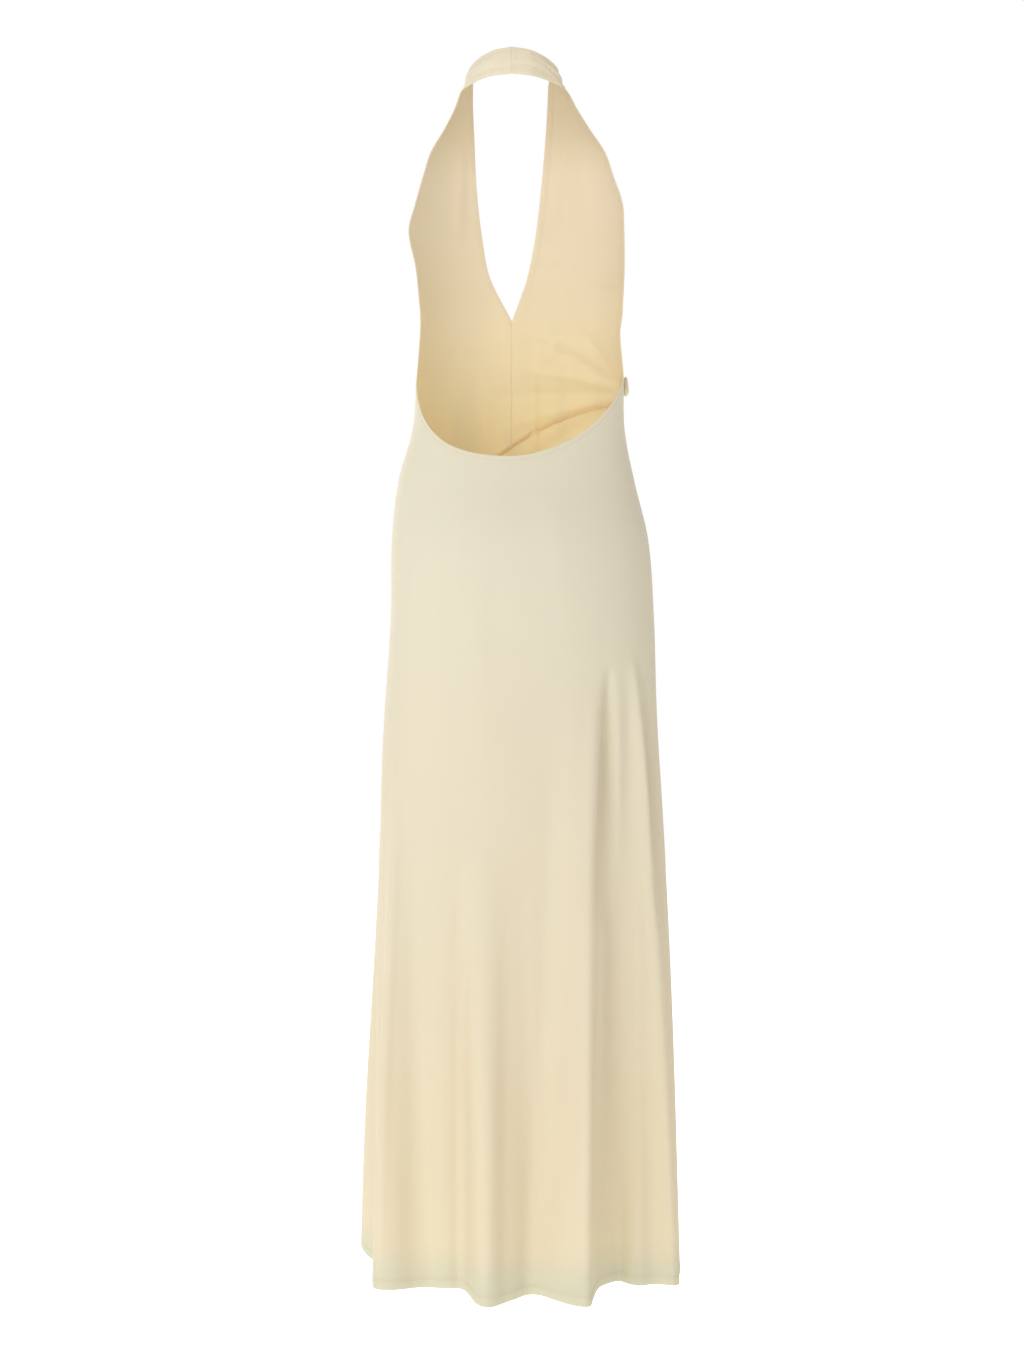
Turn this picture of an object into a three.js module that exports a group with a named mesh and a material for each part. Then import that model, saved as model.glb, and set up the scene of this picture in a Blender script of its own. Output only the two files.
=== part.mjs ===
// Halter dress of stretch jersey: deep V front, open back with a scooped waist, floor-length fluted skirt.
// Millimetres, +Z up. The wearer faces -Y and the wearer's left is +X.
// The origin is the inner face of the neck strap at its centre-back seam, about half way up the strap.

import * as THREE from "three";

// Driving dimensions
const CLOTH = 1.6;
const SEAM_GAP = 0.3;
const MID_Y = -75;
const HEM_Z = -1403;
const V_POINT_Z = -279;
const SIDE_TOP_Z = -352;
const SCOOP_Z = -453;
const SCOOP_POWER_LEFT = 2.3;
const SCOOP_POWER_RIGHT = 1.7;
const ROUNDNESS = 2.2;

// Sections of the worn cloth, each a rounded oval about x 0 and MID_Y.
// z: height. left, right: half widths. back, front: how far it reaches behind and before MID_Y.
// edge: degrees from centre front to the panel's outer edge, 90 at the side seam.
const SECTIONS = [
  { z: -64, left: 81, right: 93, back: 40, front: 57, edge: 79 },
  { z: -90, left: 97, right: 111, back: 46, front: 70, edge: 79 },
  { z: -118, left: 106, right: 121, back: 52, front: 80, edge: 80 },
  { z: -150, left: 115, right: 131.5, back: 58, front: 92, edge: 81 },
  { z: -182, left: 122.5, right: 133, back: 62, front: 103, edge: 82 },
  { z: -225, left: 114, right: 133, back: 62, front: 105, edge: 83 },
  { z: -279, left: 108, right: 130, back: 60, front: 94, edge: 85 },
  { z: -304, left: 108, right: 127, back: 60, front: 90, edge: 86 },
  { z: -352, left: 111, right: 130, back: 64, front: 92, edge: 90 },
  { z: -416, left: 116, right: 131, back: 70, front: 98, edge: 90 },
  { z: -475, left: 132, right: 142, back: 84, front: 105, edge: 90 },
  { z: -545, left: 140, right: 156, back: 102, front: 111, edge: 90 },
  { z: -632, left: 141, right: 162, back: 104, front: 111, edge: 90 },
  { z: -755, left: 149, right: 169, back: 92, front: 114, edge: 90 },
  { z: -894, left: 157, right: 178, back: 80, front: 122, edge: 90 },
  { z: -1104, left: 166, right: 189, back: 72, front: 136, edge: 90 },
  { z: -1403, left: 176, right: 199, back: 70, front: 152, edge: 90 },
];

// V neckline: half openings on each side of the centre front by height.
const NECKLINE = [
  { z: -64, left: 45, right: 40 },
  { z: -110, left: 43, right: 36 },
  { z: -151, left: 39.5, right: 31.5 },
  { z: -193, left: 33.5, right: 25.5 },
  { z: -235, left: 24, right: 16 },
  { z: -264, left: 11, right: 7.5 },
  { z: V_POINT_Z, left: 0.6, right: 0.6 },
];

// Neck strap, from the centre back round the neck to the front. neck: its upper edge, which becomes the V neckline.
// arm: its lower edge, which becomes the armhole. Left and right are distances from the middle on each side.
const STRAP = [
  { neckLeft: 0, neckRight: 0, neckY: -3.4, neckZ: 14.5, armLeft: 0, armRight: 0, armY: 1.6, armZ: -17.5 },
  { neckLeft: 20, neckRight: 21, neckY: -6.5, neckZ: 11.5, armLeft: 21, armRight: 21, armY: -2.5, armZ: -18.8 },
  { neckLeft: 38, neckRight: 40.5, neckY: -21, neckZ: 5, armLeft: 37, armRight: 38, armY: -17, armZ: -20.5 },
  { neckLeft: 50, neckRight: 53.5, neckY: -46, neckZ: -3.5, armLeft: 50.5, armRight: 54, armY: -38, armZ: -23.5 },
  { neckLeft: 46.5, neckRight: 44, neckY: -75, neckZ: -10, armLeft: 59.5, armRight: 65, armY: -62, armZ: -25.5 },
  { neckLeft: 46.5, neckRight: 42, neckY: -102, neckZ: -34, armLeft: 67.5, armRight: 76.5, armY: -80, armZ: -42 },
];
const STRAP_BOW = 2.5;

// Slanting waist seam across the front, high at the wearer's right side, low at the left hip.
const WAIST_SEAM = [
  { x: -131, z: -379 },
  { x: -92, z: -384 },
  { x: -54, z: -396 },
  { x: -22, z: -411 },
  { x: 18, z: -438 },
  { x: 70, z: -474 },
  { x: 135, z: -506 },
];

// Skirt flutes. Degrees from centre back toward the wearer's left, where the flute starts and at the hem.
// width: degrees. reach, lean and drop at the hem: outward, sideways toward the left and downward.
// start: the height where the flute fades in.
const FLUTES = [
  { top: 62, hem: 46, width: 34, reach: 30, lean: 4, drop: 0, start: -740 },
  { top: 10, hem: 6, width: 27, reach: 57, lean: 2, drop: 9, start: -880 },
  { top: -28, hem: -16.5, width: 29, reach: 58, lean: -12, drop: 9, start: -700 },
  { top: -45, hem: -36, width: 22, reach: -22, lean: 0, drop: -4, start: -690 },
  { top: -58, hem: -64, width: 26, reach: 15, lean: -5, drop: 0, start: -690 },
  { top: -84, hem: -87, width: 24, reach: -6, lean: 0, drop: 0, start: -760 },
  { top: 84, hem: 84, width: 46, reach: -30, lean: 0, drop: 0, start: -780 },
  { top: 112, hem: 106, width: 30, reach: -16, lean: 0, drop: 0, start: -860 },
  { top: 112, hem: 130, width: 36, reach: 68, lean: 12, drop: -13, start: -700 },
  { top: 156, hem: 161, width: 28, reach: 34, lean: 4, drop: -4, start: -860 },
  { top: 194, hem: 192, width: 32, reach: 38, lean: -4, drop: -2, start: -820 },
  { top: 226, hem: 223, width: 28, reach: 36, lean: 5, drop: -4, start: -900 },
  { top: 250, hem: 248, width: 22, reach: 12, lean: 0, drop: 0, start: -800 },
];
const FLUTE_GROWTH = 1.15;

// Gathered knot of cloth at the right side of the waist
const KNOT_Z = -366;
const KNOT_TURN = 261;
const KNOT_HALF_HEIGHT = 15;
const KNOT_HALF_LENGTH = 13;
const KNOT_THICKNESS = 7;
const KNOT_GATHERS = 6;
const KNOT_SIDES = 24;
const KNOT_RINGS = 10;
const KNOT_GATHER_DEPTH = 0.16;

// Grid steps across and down each piece
const BACK_GRID = { across: 52, down: 20 };
const FRONT_SKIRT_GRID = { across: 42, down: 16 };
const STRAP_STEPS = 9;
const CHEST_STEPS = 12;
const WAIST_STEPS = 7;
const BODICE_ACROSS = 12;

const JERSEY = { color: 0xe9e1c6, roughness: 0.72, metalness: 0, side: THREE.DoubleSide };

const radians = THREE.MathUtils.degToRad;
const lerp = THREE.MathUtils.lerp;

// Smooth value of a column of a table at a place along its key column.
function columnAt(rows, key, place, column) {
  const rising = rows[0][key] < rows[rows.length - 1][key];
  const passed = (row) => (rising ? row[key] <= place : row[key] >= place);
  let low = 0;
  while (low < rows.length - 2 && passed(rows[low + 1])) low += 1;
  const slopeAt = (index) => {
    const before = rows[Math.max(index - 1, 0)];
    const after = rows[Math.min(index + 1, rows.length - 1)];
    return (after[column] - before[column]) / (after[key] - before[key]);
  };
  const span = rows[low + 1][key] - rows[low][key];
  const t = THREE.MathUtils.clamp((place - rows[low][key]) / span, 0, 1);
  const from = (1 + 2 * t) * (1 - t) ** 2 * rows[low][column];
  const to = t * t * (3 - 2 * t) * rows[low + 1][column];
  const leaving = t * (1 - t) ** 2 * slopeAt(low) * span;
  const arriving = t * t * (t - 1) * slopeAt(low + 1) * span;
  return from + to + leaving + arriving;
}

const sectionAt = (z, column) => columnAt(SECTIONS, "z", z, column);

// A signed power that squares off an oval a little.
function rounded(value) {
  return Math.sign(value) * Math.abs(value) ** (2 / ROUNDNESS);
}

// Half width and reach of the section at a height, on the side that a turn faces.
function halves(turn, z) {
  const across = sectionAt(z, Math.sin(turn) >= 0 ? "left" : "right");
  const along = sectionAt(z, Math.cos(turn) >= 0 ? "back" : "front");
  return { across, along };
}

// How much of a flute is left at a turn, from 1 on its crest to 0 at its sides.
function fluteShare(flute, turn, depth) {
  const crest = radians(lerp(flute.top, flute.hem, depth));
  const away = Math.atan2(Math.sin(turn - crest), Math.cos(turn - crest));
  const share = Math.abs(away) / radians(flute.width / 2);
  return share < 1 ? 0.5 + 0.5 * Math.cos(Math.PI * share) : 0;
}

// Height of the hem at a turn.
function hemAt(turn) {
  return FLUTES.reduce((z, flute) => z - flute.drop * fluteShare(flute, turn, 1), HEM_Z);
}

// Point of the cloth's outer face at a turn from centre back and a height.
function clothPoint(turn, z) {
  const { across, along } = halves(turn, z);
  const x = across * rounded(Math.sin(turn));
  const y = along * rounded(Math.cos(turn));
  const outward = new THREE.Vector2(x / across ** 2, y / along ** 2).normalize();
  const sideways = new THREE.Vector2(outward.y, -outward.x);
  const point = new THREE.Vector2(x, MID_Y + y);
  for (const flute of FLUTES) {
    const depth = (flute.start - z) / (flute.start - HEM_Z);
    if (depth <= 0) continue;
    const grown = fluteShare(flute, turn, Math.min(depth, 1)) * depth ** FLUTE_GROWTH;
    point.addScaledVector(outward, flute.reach * grown);
    point.addScaledVector(sideways, flute.lean * grown);
  }
  return new THREE.Vector3(point.x, point.y, z);
}

// The small turn that leaves half a seam's gap beside a side or centre line.
function gapTurn(reach) {
  return (SEAM_GAP / 2 / reach) ** (ROUNDNESS / 2);
}

// Height of the scooped top edge of the back at a turn.
function scoopAt(turn) {
  const across = Math.min(Math.abs(rounded(Math.sin(turn))), 1);
  const power = turn > 0 ? SCOOP_POWER_LEFT : SCOOP_POWER_RIGHT;
  const rise = 1 - (1 - across ** power) ** (1 / power);
  return lerp(SCOOP_Z, SIDE_TOP_Z, rise);
}

// Height of the slanting waist seam at a turn.
function waistSeamAt(turn) {
  let z = SCOOP_Z;
  for (let step = 0; step < 5; step += 1) {
    z = columnAt(WAIST_SEAM, "x", clothPoint(turn, z).x, "z");
  }
  return z;
}

// Closed wall of cloth: outer points, the same points moved in by the cloth's thickness, and a rim.
// The grid has one more row and column on each side than the wall, which only give its slope at the edges.
function clothWall(name, grid, flip = 1) {
  const outer = grid.slice(1, -1).map((row) => row.slice(1, -1));
  const down = outer.length - 1;
  const across = outer[0].length - 1;
  const corner = (row, column) => row * (across + 1) + column;
  const layer = (down + 1) * (across + 1);
  const inner = outer.map((row, r) => row.map((point, c) => {
    const sideways = grid[r + 1][c + 2].clone().sub(grid[r + 1][c]);
    const downward = grid[r + 2][c + 1].clone().sub(grid[r][c + 1]);
    const normal = sideways.cross(downward).normalize().multiplyScalar(flip);
    return point.clone().addScaledVector(normal, -CLOTH);
  }));
  const faces = [];
  const quad = (a, b, c, d) => faces.push(...(flip > 0 ? [a, b, c, a, c, d] : [a, c, b, a, d, c]));
  for (let r = 0; r < down; r += 1) {
    for (let c = 0; c < across; c += 1) {
      const ring = [corner(r, c), corner(r, c + 1), corner(r + 1, c + 1), corner(r + 1, c)];
      quad(...ring);
      quad(...ring.map((index) => index + layer).reverse());
    }
  }
  const rim = [];
  for (let c = 0; c < across; c += 1) rim.push(corner(0, c));
  for (let r = 0; r < down; r += 1) rim.push(corner(r, across));
  for (let c = across; c > 0; c -= 1) rim.push(corner(down, c));
  for (let r = down; r > 0; r -= 1) rim.push(corner(r, 0));
  rim.forEach((from, index) => {
    const to = rim[(index + 1) % rim.length];
    quad(from, from + layer, to + layer, to);
  });
  return clothMesh(name, [...outer.flat(), ...inner.flat()], faces);
}

function clothMesh(name, points, faces) {
  const geometry = new THREE.BufferGeometry().setFromPoints(points);
  geometry.setIndex(faces);
  geometry.computeVertexNormals();
  const mesh = new THREE.Mesh(geometry, new THREE.MeshStandardMaterial(JERSEY));
  mesh.name = name;
  return mesh;
}

// Skirt panel between two turns, from its top edge down to the hem.
function skirtPanel(name, fromTurn, toTurn, topAt, grid) {
  const rows = [];
  for (let r = -1; r <= grid.down + 1; r += 1) {
    const row = [];
    for (let c = -1; c <= grid.across + 1; c += 1) {
      const turn = lerp(fromTurn, toTurn, c / grid.across);
      row.push(clothPoint(turn, lerp(topAt(turn), hemAt(turn), r / grid.down)));
    }
    rows.push(row);
  }
  return clothWall(name, rows);
}

function backSkirt() {
  const half = Math.PI / 2 - gapTurn(sectionAt(HEM_Z, "back"));
  return skirtPanel("back_skirt", -half, half, scoopAt, BACK_GRID);
}

function frontSkirt() {
  const gap = gapTurn(sectionAt(HEM_Z, "back"));
  const topAt = (turn) => waistSeamAt(turn) - SEAM_GAP;
  return skirtPanel("front_skirt", Math.PI / 2 + gap, Math.PI * 1.5 - gap, topAt, FRONT_SKIRT_GRID);
}

// Turn of the outer edge of a front panel at a height.
function outerTurn(side, z) {
  const fromFront = radians(sectionAt(z, "edge"));
  const gap = gapTurn(sectionAt(HEM_Z, "back"));
  return Math.PI - side * Math.min(fromFront, Math.PI / 2 - gap);
}

// Turn of the V neckline's edge at a height, or of the centre seam below the V.
function innerTurn(side, z) {
  const open = columnAt(NECKLINE, "z", z, side > 0 ? "left" : "right");
  const half = sectionAt(z, side > 0 ? "left" : "right");
  const across = Math.max(open, SEAM_GAP / 2) / half;
  return Math.PI - side * Math.asin(across ** (ROUNDNESS / 2));
}

// Row of points across a front panel on the body, a share of the way from a height down to the waist seam.
function bodiceRow(side, z, share) {
  const sideSeamFoot = waistSeamAt(outerTurn(side, SIDE_TOP_Z));
  const outer = outerTurn(side, lerp(z, sideSeamFoot, share));
  const inner = innerTurn(side, z);
  const row = [];
  for (let c = -1; c <= BODICE_ACROSS + 1; c += 1) {
    const turn = lerp(inner, outer, c / BODICE_ACROSS);
    row.push(clothPoint(turn, lerp(z, waistSeamAt(turn), share)));
  }
  return row;
}

// Row of points across the neck strap from its neck edge, bowed a little away from the neck.
function strapRow(side, place) {
  const { neckLeft, neckRight, neckY, neckZ, armLeft, armRight, armY, armZ } = STRAP[place];
  const edge = (x, y, z) => new THREE.Vector3(side * Math.max(x, SEAM_GAP / 2), y, z);
  const neck = edge(side > 0 ? neckLeft : neckRight, neckY, neckZ);
  const arm = edge(side > 0 ? armLeft : armRight, armY, armZ);
  const row = [];
  for (let c = -1; c <= BODICE_ACROSS + 1; c += 1) {
    const share = c / BODICE_ACROSS;
    const point = neck.clone().lerp(arm, share);
    const away = new THREE.Vector3(point.x, point.y - MID_Y / 2, 0).normalize();
    row.push(point.addScaledVector(away, STRAP_BOW * Math.sin(Math.PI * share)));
  }
  return row;
}

// Smooth rows through the key rows, so that the strap runs into the panel without a corner.
function loftRows(keys, steps) {
  const curveAt = (c) => new THREE.CatmullRomCurve3(keys.map((row) => row[c]), false, "centripetal");
  const columns = keys[0].map((_, c) => curveAt(c));
  const rows = [];
  for (let step = 0; step <= steps; step += 1) {
    rows.push(columns.map((curve) => curve.getPoint(step / steps)));
  }
  return rows;
}

function frontPanel(name, side) {
  const strapKeys = STRAP.map((_, place) => strapRow(side, place));
  const chestKeys = SECTIONS.filter((row) => row.z >= V_POINT_Z).map((row) => bodiceRow(side, row.z, 0));
  const upper = loftRows([...strapKeys, ...chestKeys], STRAP_STEPS + CHEST_STEPS);
  const lower = [];
  for (let step = 1; step <= WAIST_STEPS + 1; step += 1) {
    lower.push(bodiceRow(side, V_POINT_Z, step / WAIST_STEPS));
  }
  const beyondNape = upper[1].map((point) => new THREE.Vector3(-point.x, point.y, point.z));
  return clothWall(name, [beyondNape, ...upper, ...lower], -side);
}

// A small lobe of gathered cloth that lies against the side of the waist, its gathers running up and down.
function sideGather() {
  const lobe = new THREE.SphereGeometry(1, KNOT_SIDES, KNOT_RINGS).rotateX(Math.PI / 2);
  const spots = lobe.attributes.position;
  for (let index = 0; index < spots.count; index += 1) {
    const angle = Math.atan2(spots.getY(index), spots.getX(index));
    const gather = 1 - KNOT_GATHER_DEPTH * (0.5 + 0.5 * Math.cos(KNOT_GATHERS * angle));
    const outward = KNOT_THICKNESS / 2 * (spots.getX(index) * gather - 1);
    const sideways = KNOT_HALF_LENGTH * spots.getY(index) * gather;
    spots.setXYZ(index, outward, sideways, KNOT_HALF_HEIGHT * spots.getZ(index));
  }
  lobe.computeVertexNormals();
  const seat = clothPoint(radians(KNOT_TURN), KNOT_Z);
  const mesh = new THREE.Mesh(lobe, new THREE.MeshStandardMaterial(JERSEY));
  mesh.name = "side_gather";
  mesh.position.set(seat.x - SEAM_GAP, seat.y, seat.z);
  return mesh;
}

const dress = new THREE.Group();
dress.add(frontPanel("front_left", 1));
dress.add(frontPanel("front_right", -1));
dress.add(frontSkirt());
dress.add(backSkirt());
dress.add(sideGather());

export default dress;
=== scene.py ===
"""Halter dress of cream stretch jersey, dressed on its fixed frame.

Tables and sizes of the cloth are in millimetres and degrees, turns in a method are in radians, and meshes,
finishes and the studio are in metres. The wearer faces -Y, +Z is up and the wearer's left is +X. A turn of 0
faces the centre back and grows toward the left.
"""

import logging
import math
from dataclasses import dataclass, replace
from enum import Enum

import bpy
import numpy as np
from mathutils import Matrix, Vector


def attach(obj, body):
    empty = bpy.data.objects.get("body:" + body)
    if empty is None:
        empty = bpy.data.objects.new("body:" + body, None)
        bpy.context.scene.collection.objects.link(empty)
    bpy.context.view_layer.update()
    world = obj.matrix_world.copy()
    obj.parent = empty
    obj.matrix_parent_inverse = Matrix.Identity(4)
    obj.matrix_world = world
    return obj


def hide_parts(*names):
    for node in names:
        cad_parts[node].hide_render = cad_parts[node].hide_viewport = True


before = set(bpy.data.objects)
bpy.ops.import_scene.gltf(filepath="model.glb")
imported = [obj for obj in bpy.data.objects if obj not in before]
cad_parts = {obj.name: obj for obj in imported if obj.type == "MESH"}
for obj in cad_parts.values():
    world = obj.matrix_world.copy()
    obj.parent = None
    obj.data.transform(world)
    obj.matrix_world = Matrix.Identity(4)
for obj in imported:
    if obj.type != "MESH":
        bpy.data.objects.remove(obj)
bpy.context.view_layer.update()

LOG = logging.getLogger("halter_dress")
MM = 0.001
QUARTER = math.pi / 2
BODY = "root"
BELOW_HEM = -1440
EDGE_ROWS = (0.0, 0.5, 1.1, 2.0, 3.2, 4.8, 6.4, 8.0, 9.6, 11.2, 12.6, 14.0)

Colour = tuple[float, float, float]
Pair = tuple[float, float]
Socket = bpy.types.NodeSocket


class Side(Enum):
    """Side of the wearer: +1 is the left."""

    LEFT = 1
    RIGHT = -1


class Edge(Enum):
    """How an edge of a panel is finished."""

    TURNED = "turned under and stitched"
    SEAM = "sewn to its neighbour"


def table(kind: type, columns: str, *rows: tuple) -> tuple:
    """Table with named columns.

    Args:
        kind: Class of a row.
        columns: Names of the columns, each a field of the class.
        rows: Values of each row. A column left off at the end keeps the class's own value.

    Returns:
        The rows, as objects of the class.
    """
    names = columns.split()
    return tuple(kind(**dict(zip(names, row))) for row in rows)


@dataclass(frozen=True)
class Section:
    """Section of the cloth: half widths, reach back and front, and a panel edge's turn from the front."""

    z: float
    left: float
    right: float
    back: float
    front: float
    edge: float


@dataclass(frozen=True)
class Opening:
    """Half widths of the V neckline at a height."""

    z: float
    left: float
    right: float


@dataclass(frozen=True)
class StrapStation:
    """Station along the neck strap, between the edges that become the V neckline and the armhole."""

    neck_left: float
    neck_right: float
    neck_y: float
    neck_z: float
    arm_left: float
    arm_right: float
    arm_y: float
    arm_z: float


@dataclass(frozen=True)
class SeamPoint:
    """Height of the slanting waist seam at a place across the front."""

    x: float
    z: float


@dataclass(frozen=True)
class Flute:
    """Skirt flute: turns at its start and hem, width in degrees, reach, lean, drop and starting height."""

    top: float
    hem: float
    width: float
    reach: float
    lean: float
    drop: float
    start: float


@dataclass(frozen=True)
class Crease:
    """Soft ridge, or trough where its depth is negative, along a slightly bowed line between two places.

    On the body the places are x and z as seen from the front or back, and a crease that ends below the hem
    runs out through it. On the strap they are millimetres along it and across it.
    """

    start: Pair
    end: Pair
    width: float
    depth: float
    bow: float = 0.0
    fade_power: float = 0.75
    first_width: float = 0.75
    widening: float = 0.5

    def relief(self, a: np.ndarray, b: np.ndarray) -> np.ndarray:
        """Height of the crease over a grid of places.

        Args:
            a: First coordinates of the places.
            b: Second coordinates of the places.

        Returns:
            Millimetres that the cloth is moved outward at each place.
        """
        from_a, from_b = self.start
        run_a, run_b = self.end[0] - from_a, self.end[1] - from_b
        length = math.hypot(run_a, run_b)
        along = ((a - from_a) * run_a + (b - from_b) * run_b) / length**2
        aside = ((a - from_a) * run_b - (b - from_b) * run_a) / length
        share = np.clip(along, 0.0, 1.0)
        aside = aside - self.bow * np.sin(np.pi * share)
        beyond = (along - share) * length
        arch = 0.5 if self.end[1] == BELOW_HEM else 1.0
        fade = np.sin(np.pi * (arch * share)) ** self.fade_power
        swell = self.width * (self.first_width + self.widening * share)
        return self.depth * fade * np.exp(-((aside / swell) ** 2) - (beyond / self.width) ** 2)


def column_at(rows: tuple, key: str, places: np.ndarray, column: str) -> np.ndarray:
    """Smooth values of one column of a table.

    Args:
        rows: Rows of the table, in order of the key.
        key: Name of the column that the places are measured in.
        places: Places along the key column.
        column: Name of the column to read.

    Returns:
        The column's value at each place.
    """
    keys = np.array([getattr(row, key) for row in rows], float)
    values = np.array([getattr(row, column) for row in rows], float)
    if keys[0] > keys[-1]:
        keys, values = keys[::-1], values[::-1]
    slopes = np.empty_like(values)
    slopes[1:-1] = (values[2:] - values[:-2]) / (keys[2:] - keys[:-2])
    slopes[0] = (values[1] - values[0]) / (keys[1] - keys[0])
    slopes[-1] = (values[-1] - values[-2]) / (keys[-1] - keys[-2])
    low = np.clip(np.searchsorted(keys, places, side="right") - 1, 0, len(keys) - 2)
    span = keys[low + 1] - keys[low]
    t = np.clip((places - keys[low]) / span, 0.0, 1.0)
    start = (1 + 2 * t) * (1 - t) ** 2 * values[low] + t * (1 - t) ** 2 * slopes[low] * span
    end = t * t * (3 - 2 * t) * values[low + 1] + t * t * (t - 1) * slopes[low + 1] * span
    return start + end


def smooth_step(value: np.ndarray, low: float, high: float) -> np.ndarray:
    """Smooth rise from 0 at low to 1 at high."""
    t = np.clip((value - low) / (high - low), 0.0, 1.0)
    return t * t * (3 - 2 * t)


def bell(value: np.ndarray, middle: float, reach: float) -> np.ndarray:
    """Bell curve of height 1 over its middle."""
    return np.exp(-(((value - middle) / reach) ** 2))


def unit(vectors: np.ndarray) -> np.ndarray:
    """Vectors scaled to length 1."""
    return vectors / np.maximum(np.linalg.norm(vectors, axis=-1, keepdims=True), 1e-9)


def grid_normals(points: np.ndarray) -> np.ndarray:
    """Unit normals of a grid of points, along across x down."""
    return unit(np.cross(np.gradient(points, axis=1), np.gradient(points, axis=0)))


def arc_lengths(points: np.ndarray, axis: int) -> np.ndarray:
    """Distance along the rows or columns of a grid.

    Args:
        points: Grid of points.
        axis: 0 to measure down the columns, 1 to measure across the rows.

    Returns:
        Distance of each point from the start of its row or column.
    """
    steps = np.linalg.norm(np.diff(points, axis=axis), axis=-1)
    pad = [(0, 0), (0, 0)]
    pad[axis] = (1, 0)
    return np.pad(np.cumsum(steps, axis=axis), pad)


def dense_at_ends(count: int, length: float) -> np.ndarray:
    """Shares from 0 to 1 with short steps beside both ends, where edges and seams are shaped.

    Args:
        count: Number of even steps between the short ones.
        length: Real length that the shares run over, in millimetres.

    Returns:
        The shares, in order.
    """
    close = np.array(EDGE_ROWS) / length
    middle = np.linspace(close[-1], 1 - close[-1], count + 1)[1:-1]
    return np.concatenate([close, middle, 1 - close[::-1]])


@dataclass
class DressForm:
    """The worn form of the dress, which every panel is cut from.

    The last two flutes fill the two deep valleys at the middle and at the right of the back.
    """

    roundness: float = 2.2
    mid_y: float = -75.0
    hem_z: float = -1403.0
    v_point_z: float = -279.0
    side_top_z: float = -352.0
    scoop_z: float = -453.0
    scoop_power_left: float = 2.3
    scoop_power_right: float = 1.7
    strap_bow: float = 2.5
    flute_growth: float = 1.15
    flute_end: float = 1.1
    seam_gap: float = 0.01
    seam_rounds: int = 6
    sections: tuple[Section, ...] = table(
        Section, "z left right back front edge",
        (-64, 81, 93, 40, 57, 79),
        (-90, 97, 111, 46, 70, 79),
        (-118, 106, 121, 52, 80, 80),
        (-150, 115, 131.5, 58, 92, 81),
        (-182, 122.5, 133, 62, 103, 82),
        (-225, 114, 133, 62, 105, 83),
        (-279, 108, 130, 60, 94, 85),
        (-304, 108, 127, 60, 90, 86),
        (-352, 111, 130, 64, 92, 90),
        (-416, 116, 131, 70, 98, 90),
        (-475, 132, 142, 84, 105, 90),
        (-545, 140, 158.5, 102, 111, 90),
        (-632, 141, 165, 104, 111, 90),
        (-755, 149, 169, 92, 114, 90),
        (-894, 157, 178, 80, 122, 90),
        (-1104, 166, 189, 72, 136, 90),
        (-1403, 176, 199, 70, 152, 90),
    )
    neckline: tuple[Opening, ...] = table(
        Opening, "z left right",
        (-64, 45, 40),
        (-110, 43, 36),
        (-151, 39.5, 31.5),
        (-193, 33.5, 25.5),
        (-235, 24, 16),
        (-264, 11, 7.5),
        (-279, 0.05, 0.05),
    )
    strap: tuple[StrapStation, ...] = table(
        StrapStation, "neck_left neck_right neck_y neck_z arm_left arm_right arm_y arm_z",
        (0, 0, -3.4, 14.5, 0, 0, 1.6, -17.5),
        (20, 21, -6.5, 11.5, 21, 21, -2.5, -18.8),
        (38, 40.5, -21, 5, 37, 38, -17, -20.5),
        (50, 53.5, -46, -3.5, 50.5, 54, -38, -23.5),
        (46.5, 44, -75, -10, 59.5, 65, -62, -25.5),
        (46.5, 42, -102, -34, 67.5, 76.5, -80, -42),
    )
    waist_seam: tuple[SeamPoint, ...] = table(
        SeamPoint, "x z",
        (-131, -379), (-92, -384), (-54, -396), (-22, -411), (18, -438), (70, -474), (135, -506),
    )
    flutes: tuple[Flute, ...] = table(
        Flute, "top hem width reach lean drop start",
        (62, 46, 34, 30, 4, 0, -740),
        (10, 6, 27, 57, 2, 9, -880),
        (-28, -16.5, 29, 58, -12, 9, -700),
        (-45, -36, 22, -22, 0, -4, -690),
        (-58, -64, 26, 15, -5, 0, -690),
        (-84, -87, 24, -6, 0, 0, -760),
        (84, 84, 46, -30, 0, 0, -780),
        (112, 106, 30, -16, 0, 0, -860),
        (112, 130, 36, 68, 12, -13, -700),
        (156, 161, 28, 34, 4, -4, -860),
        (194, 192, 32, 38, -4, -2, -820),
        (226, 223, 28, 36, 5, -4, -900),
        (250, 248, 22, 12, 0, 0, -800),
        (-7, -5.5, 21, 13, 0, 0, -900),
        (-44, -34, 17, 11, 0, 0, -860),
    )

    def section(self, z: np.ndarray, column: str) -> np.ndarray:
        """One column of the sections at each height."""
        return column_at(self.sections, "z", z, column)

    def rounded(self, value: np.ndarray) -> np.ndarray:
        """Signed power that squares off an oval a little."""
        return np.sign(value) * np.abs(value) ** (2 / self.roundness)

    def flute_share(self, flute: Flute, turn: np.ndarray, depth: np.ndarray) -> np.ndarray:
        """How much of a flute is left at each turn.

        Args:
            flute: The flute.
            turn: Turns in radians.
            depth: Share of the way from the flute's start to the hem.

        Returns:
            1 on the crest and 0 at the sides.
        """
        crest = np.radians(flute.top + (flute.hem - flute.top) * depth)
        away = np.abs(np.arctan2(np.sin(turn - crest), np.cos(turn - crest)))
        share = np.clip(away / math.radians(flute.width / 2), 0.0, 1.0)
        return 0.5 + 0.5 * np.cos(np.pi * share)

    def hem_at(self, turn: np.ndarray) -> np.ndarray:
        """Height of the hem.

        Args:
            turn: Turns in radians.

        Returns:
            The height at each turn.
        """
        z = np.full(turn.shape, self.hem_z)
        for flute in self.flutes:
            z = z - flute.drop * self.flute_share(flute, turn, np.ones(turn.shape))
        return z

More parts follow.
